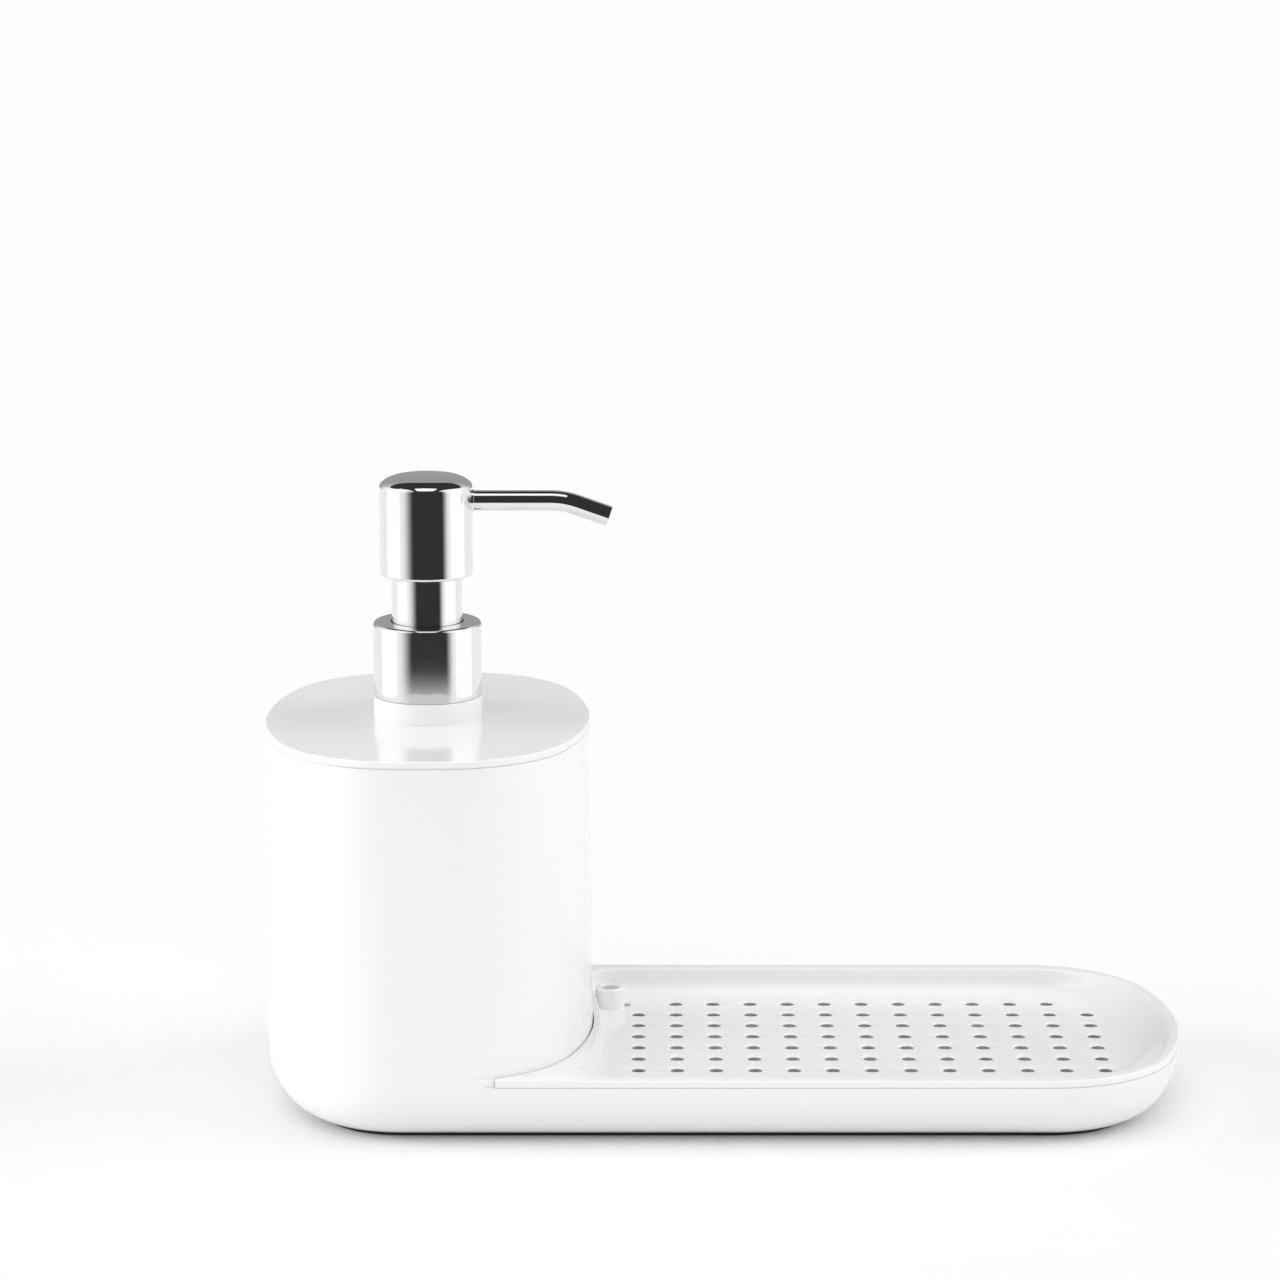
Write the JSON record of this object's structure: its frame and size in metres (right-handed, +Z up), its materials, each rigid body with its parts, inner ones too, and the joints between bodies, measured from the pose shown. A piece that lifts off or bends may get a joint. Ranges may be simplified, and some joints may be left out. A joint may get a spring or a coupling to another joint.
{
  "type": "soap pump caddy",
  "caption": "Sink caddy moulded in one piece: an oval soap bottle with a lotion pump rises from one end of a low bowl that holds a lift-out perforated drain tray.",
  "frame": {"origin": "on the table under the middle of the bowl", "axes": "+X along the bowl from the bottle towards the tray, +Y to the back, +Z up"},
  "size_m": [0.238, 0.1068, 0.1635],
  "materials": {
    "white_moulding": "gloss",
    "white_tray": "gloss",
    "bright_chrome": "polished",
    "pump_plastic": "satin",
    "tube_plastic": "translucent natural",
    "seal_rubber": "soft",
    "foot_rubber": "matt",
    "spring_steel": "drawn wire",
    "ball_steel": "polished"
  },
  "bodies": {
    "caddy": {"body_shell": "white_moulding", "top_plate": "white_moulding", "plate_seal": "seal_rubber", "feet": "foot_rubber"},
    "tray": {"drain_tray": "white_tray"},
    "pump": {"pump_barrel": "pump_plastic", "chaplet": "pump_plastic", "guide_sleeve": "bright_chrome", "dip_tube": "tube_plastic", "neck_gasket": "seal_rubber", "return_spring": "spring_steel"},
    "collar": {"collar_shell": "bright_chrome", "screw_cap": "pump_plastic"},
    "plunger": {"stem": "pump_plastic", "piston": "tube_plastic"},
    "head": {"head_shell": "bright_chrome", "head_core": "pump_plastic", "spout_tube": "bright_chrome", "spout_ring": "bright_chrome", "spout_liner": "tube_plastic"},
    "inlet_valve": {"inlet_ball": "ball_steel"},
    "outlet_valve": {"outlet_ball": "ball_steel"}
  },
  "joints": [
    {"name": "tray_lift", "type": "slide", "parent": "caddy", "child": "tray", "axis": [0, 0, 1], "range_m": [0, 0.06]},
    {"name": "pump_lift", "type": "slide", "parent": "caddy", "child": "pump", "axis": [0, 0, 1], "range_m": [0, 0.118]},
    {"name": "collar_turn", "type": "hinge", "parent": "pump", "child": "collar", "pos_m": [-0.0766, 0, 0.115], "axis": [0, 0, 1], "range_deg": [0, 540]},
    {"name": "head_press", "type": "slide", "parent": "pump", "child": "plunger", "axis": [0, 0, -1], "range_m": [0, 0.011], "stiffness_N_per_m": 500, "springref_m": -0.016, "deforming": ["return_spring"]},
    {"name": "head_turn", "type": "hinge", "parent": "plunger", "child": "head", "pos_m": [-0.0766, 0, 0.145], "axis": [0, 0, 1], "continuous": true},
    {"name": "inlet_lift", "type": "slide", "parent": "pump", "child": "inlet_valve", "axis": [0, 0, 1], "range_m": [0, 0.0025]},
    {"name": "outlet_lift", "type": "slide", "parent": "plunger", "child": "outlet_valve", "axis": [0, 0, 1], "range_m": [0, 0.0022]}
  ]
}
